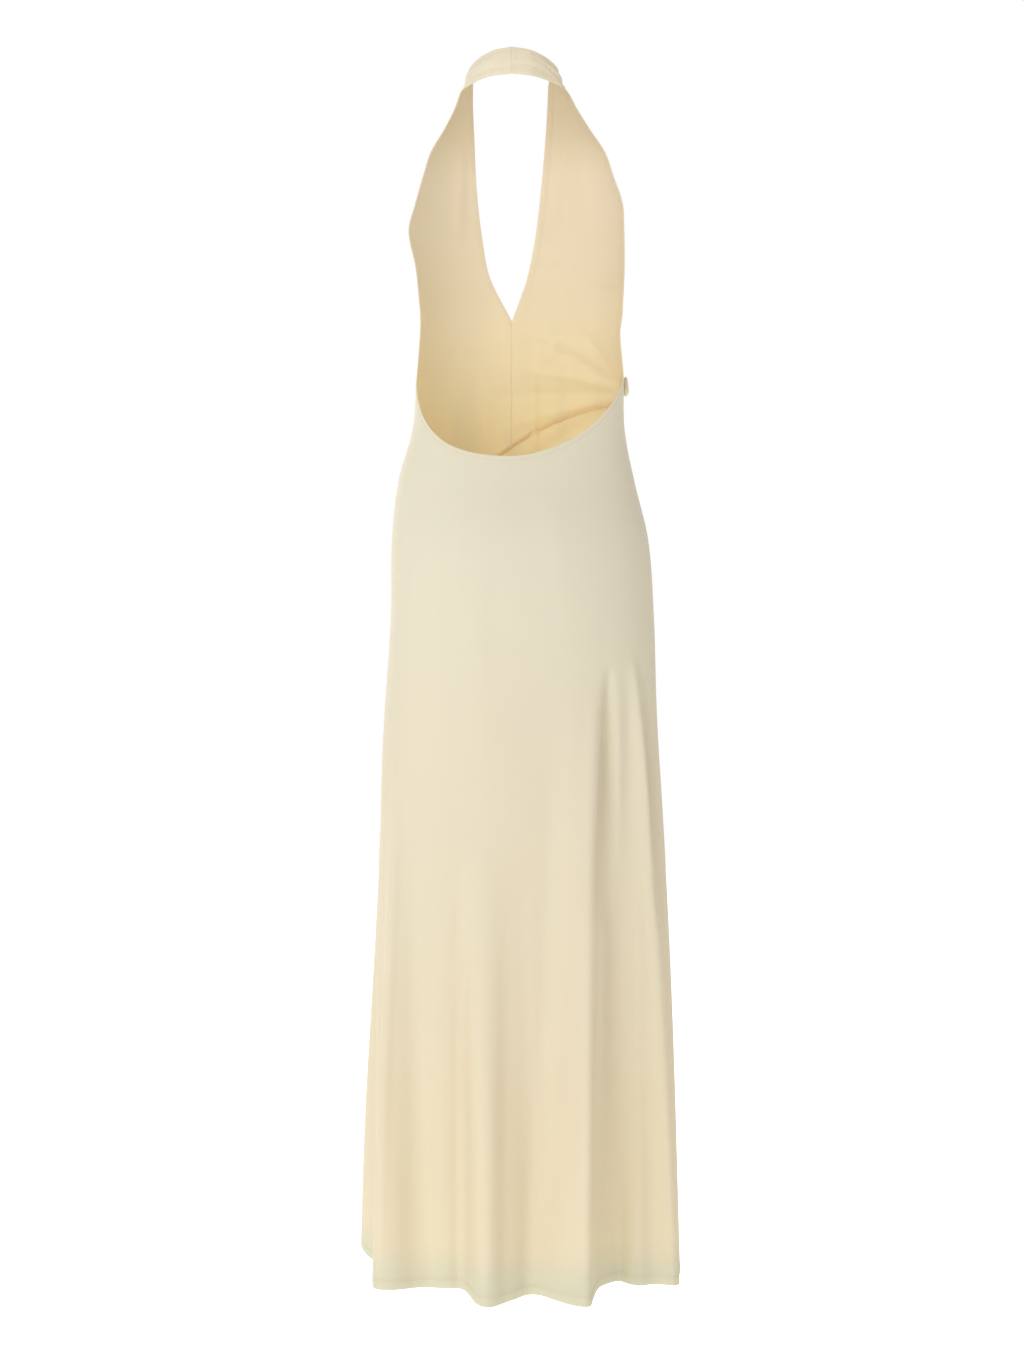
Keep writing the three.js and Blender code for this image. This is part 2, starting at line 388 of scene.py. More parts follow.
    def point(self, turn: np.ndarray, z: np.ndarray) -> np.ndarray:
        """Points of the cloth's outer face.

        Args:
            turn: Turns from the centre back, in radians.
            z: Heights, in millimetres.

        Returns:
            Points in millimetres, with x, y and z last.
        """
        across = np.where(np.sin(turn) >= 0, self.section(z, "left"), self.section(z, "right"))
        along = np.where(np.cos(turn) >= 0, self.section(z, "back"), self.section(z, "front"))
        x = across * self.rounded(np.sin(turn))
        y = along * self.rounded(np.cos(turn))
        outward = unit(np.stack([x / across**2, y / along**2], axis=-1))
        sideways = np.stack([outward[..., 1], -outward[..., 0]], axis=-1)
        flat = np.stack([x, self.mid_y + y], axis=-1)
        for flute in self.flutes:
            depth = np.clip((flute.start - z) / (flute.start - self.hem_z), 0.0, self.flute_end)
            grown = self.flute_share(flute, turn, np.minimum(depth, 1.0)) * depth**self.flute_growth
            flat = flat + outward * (flute.reach * grown)[..., None]
            flat = flat + sideways * (flute.lean * grown)[..., None]
        return np.concatenate([flat, z[..., None]], axis=-1)

    def gap_turn(self) -> float:
        """Turn that leaves half a seam's gap beside a side seam."""
        reach = float(self.section(np.array(self.hem_z), "back"))
        return (self.seam_gap / 2 / reach) ** (self.roundness / 2)

    def scoop_at(self, turn: np.ndarray) -> np.ndarray:
        """Height of the scooped top edge of the back.

        Args:
            turn: Turns in radians.

        Returns:
            The height at each turn.
        """
        across = np.minimum(np.abs(self.rounded(np.sin(turn))), 1.0)
        power = np.where(turn > 0, self.scoop_power_left, self.scoop_power_right)
        rise = 1 - (1 - across**power) ** (1 / power)
        return self.scoop_z + (self.side_top_z - self.scoop_z) * rise

    def waist_seam_at(self, turn: np.ndarray) -> np.ndarray:
        """Height of the slanting waist seam, found in rounds, because x depends on the height.

        Args:
            turn: Turns in radians.

        Returns:
            The height at each turn.
        """
        z = np.full(turn.shape, self.scoop_z)
        for _ in range(self.seam_rounds):
            z = column_at(self.waist_seam, "x", self.point(turn, z)[..., 0], "z")
        return z

    def outer_turn(self, side: Side, z: np.ndarray) -> np.ndarray:
        """Turn of a front panel's outer edge at each height."""
        from_front = np.minimum(np.radians(self.section(z, "edge")), QUARTER - self.gap_turn())
        return math.pi - side.value * from_front

    def inner_turn(self, side: Side, z: np.ndarray) -> np.ndarray:
        """Turn of the V neckline's edge, or of the centre seam below it.

        Args:
            side: Side of the panel.
            z: Heights, in millimetres.

        Returns:
            The turn at each height, in radians.
        """
        name = side.name.lower()
        opening = np.maximum(column_at(self.neckline, "z", z, name), self.seam_gap / 2)
        across = opening / self.section(z, name)
        return math.pi - side.value * np.arcsin(across ** (self.roundness / 2))


def opaque(colour: Colour) -> tuple[float, float, float, float]:
    """A colour with full alpha."""
    return (*colour, 1.0)


class NodeKit:
    """Adds the nodes of one material or world, and sets and links them."""

    def __init__(self, owner: bpy.types.ID) -> None:
        """Switch on the owner's nodes.

        Args:
            owner: The material or world.
        """
        owner.use_nodes = True
        self.nodes = owner.node_tree.nodes
        self.links = owner.node_tree.links

    def fill(self, node: bpy.types.Node, inputs: dict) -> bpy.types.Node:
        """Set or link the inputs of a node.

        Args:
            node: The node.
            inputs: The value to set or the socket to link for each input, by its name or number.

        Returns:
            The same node.
        """
        for key, value in inputs.items():
            if isinstance(value, Socket):
                self.links.new(value, node.inputs[key])
            else:
                node.inputs[key].default_value = value
        return node

    def add(self, kind: str, inputs: dict, **settings: str) -> bpy.types.Node:
        """Add a node.

        Args:
            kind: Type of the shader node.
            inputs: Its inputs, as fill takes them.
            settings: The node's own settings.

        Returns:
            The new node.
        """
        node = self.nodes.new(f"ShaderNode{kind}")
        for name, value in settings.items():
            setattr(node, name, value)
        return self.fill(node, inputs)

    def rise(self, value: Socket, low: float, high: float) -> Socket:
        """Smooth rise from 0 at low to 1 at high."""
        inputs = {"Value": value, "From Min": low, "From Max": high}
        return self.add("MapRange", inputs, interpolation_type="SMOOTHSTEP").outputs["Result"]

    def compute(self, operation: str, *values: object) -> Socket:
        """Result of a sum on sockets and numbers."""
        return self.add("Math", dict(enumerate(values)), operation=operation).outputs[0]

    def mix(self, share: Socket, first: object, second: object) -> Socket:
        """Mix of two colours, each a socket or four numbers, by the second one's share."""
        return self.add("Mix", {"Factor": share, 6: first, 7: second}, data_type="RGBA").outputs[2]


@dataclass(frozen=True)
class JerseyFinish:
    """Smooth stretch jersey, with its knit, its soft sheen, a slow change of colour down the dress and
    painted shade on the neck strap.
    """

    name: str
    # The strap colour, darker than the top colour, is painted shade on the neck strap, which is cut in one
    # with the front panels; it blends in between heights -0.13 m and -0.04 m.
    strap_shade_colour: Colour
    top_colour: Colour
    low_colour: Colour
    hem_colour: Colour
    strap_line: float = -0.13
    strap_end: float = -0.04
    fade_top: float = -0.35
    fade_low: float = -1.25
    fade_wander: float = 0.12
    blotch_scale: float = 5.0
    hem_line: float = -1.345
    hem_end: float = -1.40
    streak_share: float = 0.35
    streak_colour: Colour = (0.85, 0.735, 0.57)
    streak_scale: tuple[float, float, float] = (26.0, 26.0, 1.6)
    streak_start: float = 0.42
    streak_full: float = 0.68
    noise_detail: float = 3.0
    wales: float = 420.0
    courses: float = 900.0
    course_share: float = 0.6
    course_wobble: float = 0.6
    knit_strength: float = 0.05
    knit_height: float = 0.0004
    roughness: float = 0.78
    specular: float = 0.32
    sheen: float = 0.18
    sheen_roughness: float = 0.45
    sheen_tint: Colour = (1.0, 0.97, 0.9)
    let_through: float = 0.3

    def make(self) -> bpy.types.Material:
        """Make the node material.

        Returns:
            The finished material.
        """
        material = bpy.data.materials.new(self.name)
        kit = NodeKit(material)
        colour = self.colour(kit)
        shader = kit.fill(kit.nodes["Principled BSDF"], {
            "Base Color": colour,
            "Normal": self.knit(kit),
            "Roughness": self.roughness,
            "Sheen Weight": self.sheen,
            "Sheen Roughness": self.sheen_roughness,
            "Sheen Tint": opaque(self.sheen_tint),
            "Specular IOR Level": self.specular,
        })
        through = kit.add("BsdfTranslucent", {"Color": colour})
        both = kit.add("MixShader", {"Fac": self.let_through, 1: shader.outputs[0], 2: through.outputs[0]})
        kit.fill(kit.nodes["Material Output"], {"Surface": both.outputs[0]})
        return material

    def colour(self, kit: NodeKit) -> Socket:
        """Colour that turns warmer down the skirt, in soft streaks, and darker and greyer toward the hem. On
        the inside the warming runs down the bodice and is painted glow of light shining through the cloth;
        the strap's colour is painted shade.

        Args:
            kit: Kit of the material.

        Returns:
            The colour's output socket.
        """
        place = kit.add("TexCoord", {}).outputs["Object"]
        height = kit.add("SeparateXYZ", {0: place}).outputs["Z"]
        inputs = {"Scale": self.blotch_scale, "Detail": self.noise_detail, "Vector": place}
        blotches = kit.add("TexNoise", inputs).outputs["Fac"]
        wander = kit.compute("MULTIPLY_ADD", blotches, self.fade_wander, height)
        down = kit.rise(wander, self.fade_top, self.fade_low)
        # Painted shade on the neck strap: the strap colour takes over upward from -0.13 m to -0.04 m.
        strap = kit.rise(height, self.strap_line, self.strap_end)
        hem = kit.rise(height, self.hem_line, self.hem_end)
        body = kit.mix(strap, opaque(self.top_colour), opaque(self.strap_shade_colour))
        warm = kit.mix(down, body, opaque(self.low_colour))
        streaked = kit.mix(self.streaks(kit, place, down), warm, opaque(self.streak_colour))
        return kit.mix(hem, streaked, opaque(self.hem_colour))

    def streaks(self, kit: NodeKit, place: Socket, down: Socket) -> Socket:
        """Share of a warmer cream in soft streaks that grow down the cloth.

        Args:
            kit: Kit of the material.
            place: Socket of the place on the dress.
            down: Socket that rises from 0 to 1 down the cloth.

        Returns:
            The share's output socket.
        """
        drawn_out = kit.add("Mapping", {"Scale": self.streak_scale, "Vector": place}).outputs["Vector"]
        inputs = {"Scale": 1.0, "Detail": self.noise_detail, "Vector": drawn_out}
        noise = kit.add("TexNoise", inputs).outputs["Fac"]
        growing = kit.compute("MULTIPLY", down, self.streak_share)
        return kit.compute("MULTIPLY", kit.rise(noise, self.streak_start, self.streak_full), growing)

    def knit(self, kit: NodeKit) -> Socket:
        """Fine wales and courses of the knit.

        Args:
            kit: Kit of the material.

        Returns:
            The normal's output socket.
        """
        place = kit.add("UVMap", {}, uv_map="cut").outputs["UV"]
        inputs = {"Scale": self.wales, "Vector": place}
        wales = kit.add("TexWave", inputs, bands_direction="X").outputs["Fac"]
        inputs = {"Scale": self.courses, "Distortion": self.course_wobble, "Vector": place}
        courses = kit.add("TexWave", inputs, bands_direction="Y").outputs["Fac"]
        both = kit.compute("MULTIPLY_ADD", courses, self.course_share, wales)
        inputs = {"Strength": self.knit_strength, "Distance": self.knit_height, "Height": both}
        return kit.add("Bump", inputs).outputs["Normal"]


@dataclass(frozen=True)
class ThreadFinish:
    """Twisted sewing thread in the cloth's own cream."""

    name: str = "cream_thread"
    colour: Colour = (0.76, 0.68, 0.5)
    shade: float = 0.88
    twist_scale: float = 1800.0
    twist_strength: float = 0.3
    twist_height: float = 0.0001
    roughness: float = 0.55

    def make(self) -> bpy.types.Material:
        """Make the node material.

        Returns:
            The finished material.
        """
        material = bpy.data.materials.new(self.name)
        kit = NodeKit(material)
        place = kit.add("TexCoord", {}).outputs["Object"]
        twist = kit.add("TexNoise", {"Scale": self.twist_scale, "Vector": place}).outputs["Fac"]
        ramp = kit.add("ValToRGB", {"Fac": twist})
        dark, light = ramp.color_ramp.elements
        dark.color = opaque(tuple(self.shade * part for part in self.colour))
        light.color = opaque(self.colour)
        inputs = {"Strength": self.twist_strength, "Distance": self.twist_height, "Height": twist}
        bump = kit.add("Bump", inputs)
        kit.fill(kit.nodes["Principled BSDF"], {
            "Base Color": ramp.outputs["Color"],
            "Normal": bump.outputs["Normal"],
            "Roughness": self.roughness,
        })
        return material


@dataclass
class Finishes:
    """All the materials of the dress, made once."""

    outside: bpy.types.Material
    inside: bpy.types.Material
    gathered: bpy.types.Material
    thread: bpy.types.Material

    @classmethod
    def make(cls) -> "Finishes":
        """Make every material.

        Returns:
            The materials.
        """
        outside = JerseyFinish(
            name="jersey_outside",
            strap_shade_colour=(0.79, 0.735, 0.59),
            top_colour=(0.80, 0.785, 0.66),
            low_colour=(0.84, 0.785, 0.605),
            hem_colour=(0.76, 0.75, 0.59),
        )
        # Inner face and rims: brighter, warmer and more orange than the outside, turning orange from 0.10 m
        # to 0.42 m down the bodice: painted glow of light that shines through the cloth and bounces inside
        # the dress.
        inside = JerseyFinish(
            name="jersey_inside_painted_glow",
            strap_shade_colour=(0.815, 0.72, 0.55),
            top_colour=(0.90, 0.805, 0.665),
            low_colour=(1.0, 0.865, 0.58),
            hem_colour=(0.82, 0.72, 0.48),
            fade_top=-0.10,
            fade_low=-0.42,
            let_through=0.6,
        )
        # The knot's darker, warmer colour is painted shade in its gathers.
        gathered = replace(outside, name="jersey_gathered_painted_shade", top_colour=(0.76, 0.70, 0.51), let_through=0.0)
        return cls(outside.make(), inside.make(), gathered.make(), ThreadFinish().make())


def make_object(
    name: str,
    points: np.ndarray,
    faces: list,
    materials: list[bpy.types.Material],
    uvs: np.ndarray | None = None,
) -> bpy.types.Object:
    """Make a smooth mesh object at the origin.

    Args:
        name: Name of the piece.
        points: Vertices in millimetres.
        faces: Faces as lists of vertex numbers.
        materials: Its materials, the first one everywhere.
        uvs: Place of each vertex on the flat cut, in metres.

    Returns:
        The new object.
    """
    mesh = bpy.data.meshes.new(name)
    mesh.from_pydata((points * MM).tolist(), [], faces)
    mesh.polygons.foreach_set("use_smooth", [True] * len(mesh.polygons))
    for material in materials:
        mesh.materials.append(material)
    if uvs is not None:
        layer = mesh.uv_layers.new(name="cut")
        corners = np.empty(len(mesh.loops), np.int32)
        mesh.loops.foreach_get("vertex_index", corners)
        layer.data.foreach_set("uv", uvs[corners].ravel())
    mesh.update()
    made = bpy.data.objects.new(name, mesh)
    bpy.context.scene.collection.objects.link(made)
    return made


@dataclass
class Shell:
    """Thin closed shell of cloth between two grids of points."""

    name: str
    outer: np.ndarray
    inner: np.ndarray
    across: np.ndarray
    down: np.ndarray
    flip: int = 1

    def make(self, outside: bpy.types.Material, inside: bpy.types.Material) -> bpy.types.Object:
        """Close the two layers into one mesh.

        Args:
            outside: Material of the outer face.
            inside: Material of the inner face and of the rim.

        Returns:
            The closed shell.
        """
        layer = self.across.size
        numbers = np.arange(layer).reshape(self.across.shape)
        a, b = numbers[:-1, :-1].ravel(), numbers[:-1, 1:].ravel()
        c, d = numbers[1:, 1:].ravel(), numbers[1:, :-1].ravel()
        rim = np.concatenate([numbers[0, :-1], numbers[:-1, -1], numbers[-1, :0:-1], numbers[:0:-1, 0]])
        ahead = np.roll(rim, -1)
        face = np.stack([a, b, c, d], axis=1)
        edge = np.stack([rim, rim + layer, ahead + layer, ahead], axis=1)
        faces = np.concatenate([face, face[:, ::-1] + layer, edge])[:, :: self.flip]
        spots = np.concatenate([self.outer.reshape(-1, 3), self.inner.reshape(-1, 3)])
        cut = np.stack([self.across.ravel(), self.down.ravel()], axis=1) * MM
        made = make_object(self.name, spots, faces.tolist(), [outside, inside], np.concatenate([cut, cut]))
        slots = np.ones(len(faces), np.int32)
        slots[: len(face)] = 0
        made.data.polygons.foreach_set("material_index", slots)
        self.sharpen(made.data, rim, layer)
        return made

    @staticmethod
    def sharpen(mesh: bpy.types.Mesh, rim: np.ndarray, layer: int) -> None:
        """Keep the shading of both faces flat up to the rim, so that a seam doesn't show as a line.

        Args:
            mesh: The shell's mesh.
            rim: Numbers of the outer face's rim vertices, in order.
            layer: Number of vertices in one layer.
        """
        ends = np.empty(len(mesh.edges) * 2, np.int32)
        mesh.edges.foreach_get("vertices", ends)
        ends = np.sort(ends.reshape(-1, 2), axis=1)
        pairs = np.sort(np.stack([rim, np.roll(rim, -1)], axis=1), axis=1)
        wanted = np.concatenate([pairs, pairs + layer])
        span = 2 * layer
        sharp = np.isin(ends[:, 0] * span + ends[:, 1], wanted[:, 0] * span + wanted[:, 1])
        mesh.edges.foreach_set("use_edge_sharp", sharp)


def dress(piece: bpy.types.Object, node: str = "") -> None:
    """Tie a piece to the dress's body, and hide the node that it stands for.

    Args:
        piece: The piece.
        node: The node, if it stands for one.
    """
    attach(piece, BODY)
    if node:
        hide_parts(node)


@dataclass(frozen=True)
class EdgeFinish:
    """Shape of one edge of a panel, in millimetres."""

    kind: Edge
    turn_width: float = 7.0
    stitch_rows: tuple[float, ...] = (5.6,)
    turn_height: float = 0.12
    turn_slope: float = 2.0
    stitch_dent: float = 0.14
    stitch_reach: float = 0.8
    lip: float = 0.32
    lip_reach: float = 0.7
    doubled: float = 0.75
    pressed: float = 0.45
    doubled_before: float = 0.5
    doubled_after: float = 0.9
    groove: float = 0.5
    groove_reach: float = 0.9
    ridge: float = 0.12
    ridge_place: float = 3.2
    ridge_reach: float = 1.8

    def outer_relief(self, distance: np.ndarray) -> np.ndarray:
        """How far the outer face is moved.

        Args:
            distance: Distances from the edge.

        Returns:
            The move outward at each distance.
        """
        if self.kind is Edge.SEAM:
            ridge = self.ridge * bell(distance, self.ridge_place, self.ridge_reach)
            return ridge - self.groove * bell(distance, 0.0, self.groove_reach)
        flat = smooth_step(distance, self.turn_width - self.turn_slope, self.turn_width + self.turn_slope)
        dents = sum(bell(distance, row, self.stitch_reach) for row in self.stitch_rows)
        rolled = self.lip * np.exp(-distance / self.lip_reach)
        return self.turn_height * (1 - flat) - rolled - self.stitch_dent * dents

    def extra_thickness(self, distance: np.ndarray) -> np.ndarray:
        """Thickness that the turned cloth adds on the inside.

        Args:
            distance: Distances from the edge.

        Returns:
            The thickness at each distance.
        """
        if self.kind is Edge.SEAM:
            return np.zeros(distance.shape)
        first, last = self.turn_width - self.doubled_before, self.turn_width + self.doubled_after
        turned = 1 - smooth_step(distance, first, last)
        return turned * (self.doubled - self.pressed * np.exp(-distance / self.lip_reach))


@dataclass
class PanelEdge:
    """One edge of a panel, with each point's distance from it and the share of it that has the finish."""

    finish: EdgeFinish
    distance: np.ndarray
    share: np.ndarray
    level: bool

    def stitch_lines(self, sheet: np.ndarray) -> list[np.ndarray]:
        """Lines that the stitches of a turned edge follow.

        Args:
            sheet: Grid of points and normals, six numbers each.

        Returns:
            Points and normals of each line.
        """
        if self.finish.kind is Edge.SEAM:
            return []
        distance, share = self.distance, self.share
        if not self.level:
            sheet, distance, share = sheet.transpose(1, 0, 2), distance.T, share.T
        kept = share[0] > 0.5
        if distance[0, 0] > distance[-1, 0]:
            sheet, distance = sheet[::-1], distance[::-1]
        lines = []
        for row in self.finish.stitch_rows:
            line = [
                [np.interp(row, distance[:, column], sheet[:, column, part]) for part in range(6)]
                for column in range(sheet.shape[1])
            ]
            lines.append(np.array(line)[kept])
        return lines


@dataclass
class ClothPanel:
    """A cut panel of jersey, made as a thin closed shell from a grid of outer points."""

    name: str
    node: str
    form: DressForm
    finishes: Finishes
    top: EdgeFinish
    bottom: EdgeFinish
    start: EdgeFinish
    end: EdgeFinish
    cut: Pair
    flip: int = 1
    thickness: float = 1.0
    side_fade: Pair = (6.0, 38.0)
    creases: tuple[Crease, ...] = ()
    strap_creases: tuple[Crease, ...] = ()
    stitch_paths: tuple[np.ndarray, ...] = ()

    def relief(self, base: np.ndarray, across: np.ndarray, down: np.ndarray) -> np.ndarray:
        """How far the creases move the cloth outward, fading toward the sides, where two panels meet.

        Args:
            base: Grid of points on the dress form.
            across: Distance of each point from the panel's starting edge.
            down: Distance of each point from the panel's top edge.

        Returns:
            Millimetres outward at each point.
        """
        total = np.zeros(across.shape)
        for crease in self.creases:
            total += crease.relief(base[..., 0], base[..., 2])
        total *= smooth_step(np.abs(base[..., 1] - self.form.mid_y), *self.side_fade)
        for crease in self.strap_creases:
            total += crease.relief(down, across)
        return total

    def edges(self, across: np.ndarray, down: np.ndarray) -> list[PanelEdge]:
        """The panel's four edges.

        Args:
            across: Distance of each point from the panel's starting edge.
            down: Distance of each point from the panel's top edge.

        Returns:
            The edges.
        """
        whole = np.ones(across.shape)
        return [
            PanelEdge(self.top, down, whole, level=True),
            PanelEdge(self.bottom, down[-1:, :] - down, whole, level=True),
            PanelEdge(self.start, across, whole, level=False),
            PanelEdge(self.end, across[:, -1:] - across, whole, level=False),
        ]

    def build(self, base: np.ndarray) -> bpy.types.Object:
        """Build the shell with its creases and finished edges, and keep the lines of its stitches.

        Args:
            base: Grid of outer points on the dress form, rows down and columns across.

        Returns:
            The panel's object.
        """
        across, down = arc_lengths(base, 1), arc_lengths(base, 0)
        worn = base + grid_normals(base) * (self.relief(base, across, down) * self.flip)[..., None]
        normals = grid_normals(worn) * self.flip
        raised, extra = np.zeros(across.shape), np.zeros(across.shape)
        edges = self.edges(across, down)
        for edge in edges:
            raised += edge.finish.outer_relief(edge.distance) * edge.share
            extra = np.maximum(extra, edge.finish.extra_thickness(edge.distance) * edge.share)
        outer = worn + normals * raised[..., None]
        inner = worn - normals * (self.thickness + extra)[..., None]
        sheet = np.concatenate([outer, normals], axis=-1)
        self.stitch_paths = tuple(line for edge in edges for line in edge.stitch_lines(sheet))
        shell = Shell(self.name, outer, inner, across, down, self.flip)
        made = shell.make(self.finishes.outside, self.finishes.inside)
        dress(made, self.node)
        return made


@dataclass
class SkirtPanel(ClothPanel):
    """Skirt panel between two turns, from its top edge down to the hem."""

    from_turn: float = 0.0
    to_turn: float = 0.0
    columns: int = 190
    rows: int = 205
    span: float = 470.0
    drop: float = 990.0

    def top_at(self, turn: np.ndarray) -> np.ndarray:
        """Height of the panel's top edge at each turn."""
        raise NotImplementedError

    def make(self) -> bpy.types.Object:
        """Build the skirt panel.

        Returns:
            The panel's object.
        """
        steps = dense_at_ends(self.rows, self.drop)
        turn = self.from_turn + (self.to_turn - self.from_turn) * dense_at_ends(self.columns, self.span)
        turns = np.broadcast_to(turn, (len(steps), len(turn)))
        top, hem = self.top_at(turn), self.form.hem_at(turn)
        return self.build(self.form.point(turns, top + (hem - top) * steps[:, None]))


@dataclass
class BackSkirt(SkirtPanel):
    """Back skirt, from the scooped edge to the hem."""

    def top_at(self, turn: np.ndarray) -> np.ndarray:
        """Height of the scooped edge at each turn."""
        return self.form.scoop_at(turn)


@dataclass
class FrontSkirt(SkirtPanel):
    """Front skirt, from the slanting waist seam to the hem."""

    def top_at(self, turn: np.ndarray) -> np.ndarray:
        """Height of the slanting waist seam at each turn."""
        return self.form.waist_seam_at(turn) - self.form.seam_gap


@dataclass
class FrontPanel(ClothPanel):
    """Front bodice panel, cut in one with its half of the neck strap.

    Its upper part runs from the neck to the V's point and its lower part from there to the waist seam. A
    turned edge becomes a seam over a short change.
    """

    side: Side = Side.LEFT
    columns: int = 66
    span: float = 105.0
    upper_rows: int = 190
    upper_drop: float = 420.0
    lower_rows: int = 70
    lower_drop: float = 200.0
    join: float = 10.0
    change: Pair = (-6.0, 2.0)
    v_length: float = 0.0
    armhole_length: float = 0.0

    def strap_row(self, station: StrapStation, shares: np.ndarray) -> np.ndarray:
        """Points across the neck strap, bowed a little away from the neck.

        Args:
            station: The strap's station.
            shares: Places across the strap, from its neck edge to its arm edge.

        Returns:
            One row of points.
        """
        form, sign = self.form, self.side.value
        left = self.side is Side.LEFT
        neck_x = max(station.neck_left if left else station.neck_right, form.seam_gap / 2)
        arm_x = max(station.arm_left if left else station.arm_right, form.seam_gap / 2)
        neck = np.array([sign * neck_x, station.neck_y, station.neck_z])
        arm = np.array([sign * arm_x, station.arm_y, station.arm_z])
        row = neck + (arm - neck) * shares[:, None]
        away = np.stack([row[:, 0], row[:, 1] - form.mid_y / 2, np.zeros(len(row))], axis=1)
        return row + unit(away) * (form.strap_bow * np.sin(np.pi * shares))[:, None]

    def body_row(self, z: float, share: float, shares: np.ndarray) -> np.ndarray:
        """Points across the panel on the body.

        Args:
            z: Height that the row starts from.
            share: Share of the way from there down to the waist seam.
            shares: Places across the panel, from its inner edge to its outer one.

        Returns:
            One row of points.
        """
        form, side = self.form, self.side
        start = np.array(float(z))
        side_foot = form.waist_seam_at(form.outer_turn(side, np.array([form.side_top_z])))[0]
        outer = form.outer_turn(side, start + (side_foot - start) * share)
        turn = form.inner_turn(side, start) + (outer - form.inner_turn(side, start)) * shares
        heights = z + (form.waist_seam_at(turn) - z) * share
        return form.point(turn, heights)

    @staticmethod
    def loft(keys: np.ndarray, steps: np.ndarray) -> np.ndarray:
        """Smooth rows through the key rows, spaced by the root of their distance.

        Args:
            keys: Key rows of points.
            steps: Places along the loft, from 0 to 1.

        Returns:
            The lofted rows.
        """
        padded = np.concatenate([2 * keys[:1] - keys[1:2], keys, 2 * keys[-1:] - keys[-2:-1]])
        gaps = np.maximum(np.linalg.norm(np.diff(padded, axis=0), axis=-1) ** 0.5, 1e-6)
        place = steps * (len(keys) - 1)
        low = np.minimum(place.astype(int), len(keys) - 2)
        t = (place - low)[:, None, None]
        before, here, there, after = (padded[low + step] for step in range(4))
        first, middle, last = (gaps[low + step][..., None] for step in range(3))
        slope = (there - here) / middle
        leave = ((here - before) / first - (there - before) / (first + middle) + slope) * middle
        arrive = (slope - (after - here) / (middle + last) + (after - there) / last) * middle
        square, cube = t * t, t**3
        return (
            (2 * cube - 3 * square + 1) * here
            + (cube - 2 * square + t) * leave
            + (3 * square - 2 * cube) * there
            + (cube - square) * arrive
        )

    def edges(self, across: np.ndarray, down: np.ndarray) -> list[PanelEdge]:
        """The panel's edges: the V and armhole are turned above, and sewn into seams below.

        Args:
            across: Distance of each point from the panel's starting edge.
            down: Distance of each point from the panel's top edge.

        Returns:
            The edges, the V's and the armhole's each followed by its seam.
        """
        top, bottom, start, end = super().edges(across, down)
        before, after = self.change
        to_centre = smooth_step(down, self.v_length + before, self.v_length + after)
        to_side = smooth_step(down, self.armhole_length + before, self.armhole_length + after)
        start.share, end.share = 1 - to_centre, 1 - to_side
        seam = EdgeFinish(Edge.SEAM)
        centre = PanelEdge(seam, start.distance, to_centre, level=False)
        return [top, bottom, start, centre, end, PanelEdge(seam, end.distance, to_side, level=False)]

    def make(self) -> bpy.types.Object:
        """Build the front panel.

        Returns:
            The panel's object.
        """
        form = self.form
        shares = dense_at_ends(self.columns, self.span)
        keys = [self.strap_row(station, shares) for station in form.strap]
        chest = [section.z for section in form.sections if section.z >= form.v_point_z]
        keys.extend(self.body_row(z, 0.0, shares) for z in chest)
        steps = dense_at_ends(self.upper_rows, self.upper_drop)
        upper = self.loft(np.array(keys), steps[steps <= 1 - self.join / self.upper_drop])
        steps = dense_at_ends(self.lower_rows, self.lower_drop)
        steps = [0.0, *steps[steps > self.join / self.lower_drop]]
        lower = np.array([self.body_row(form.v_point_z, share, shares) for share in steps])
        base = np.concatenate([upper, lower])
        down = arc_lengths(base, 0)
        self.v_length = float(down[len(upper), 0])
        side_top = np.argmin(np.abs(base[:, -1, 2] - form.side_top_z))
        self.armhole_length = float(down[side_top, -1])
        return self.build(base)


